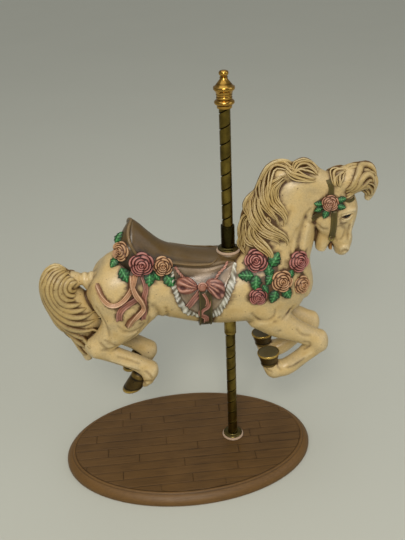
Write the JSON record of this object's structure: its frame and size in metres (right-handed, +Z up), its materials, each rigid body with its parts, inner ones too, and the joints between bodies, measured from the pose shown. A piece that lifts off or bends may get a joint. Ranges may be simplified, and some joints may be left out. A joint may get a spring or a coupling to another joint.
{
  "type": "carousel horse figurine",
  "caption": "Galloping carousel horse figurine with saddle, roses and ribbons, on a brass pole with a turned finial and an oval planked base.",
  "frame": {"origin": "centre of the oval base's underside", "axes": "+Z up along the pole, +X towards the horse's muzzle, -Y towards the side with the most flowers"},
  "size_m": [0.3025, 0.16, 0.38],
  "materials": {
    "cast_horse": "painted ivory with a brown antique wash, satin varnish",
    "stained_wood": "brown stain, satin",
    "aged_brass": "dark antique lacquer",
    "polished_brass": "polished",
    "felt_washer": "matt"
  },
  "bodies": {
    "root": {"horse": "cast_horse", "base": "stained_wood", "pole": "aged_brass", "finial": "polished_brass", "base_washer": "felt_washer", "base_flange": "aged_brass", "saddle_washer": "felt_washer", "saddle_flange": "aged_brass", "sleeve": "aged_brass", "ferrule": "aged_brass"}
  },
  "joints": []
}
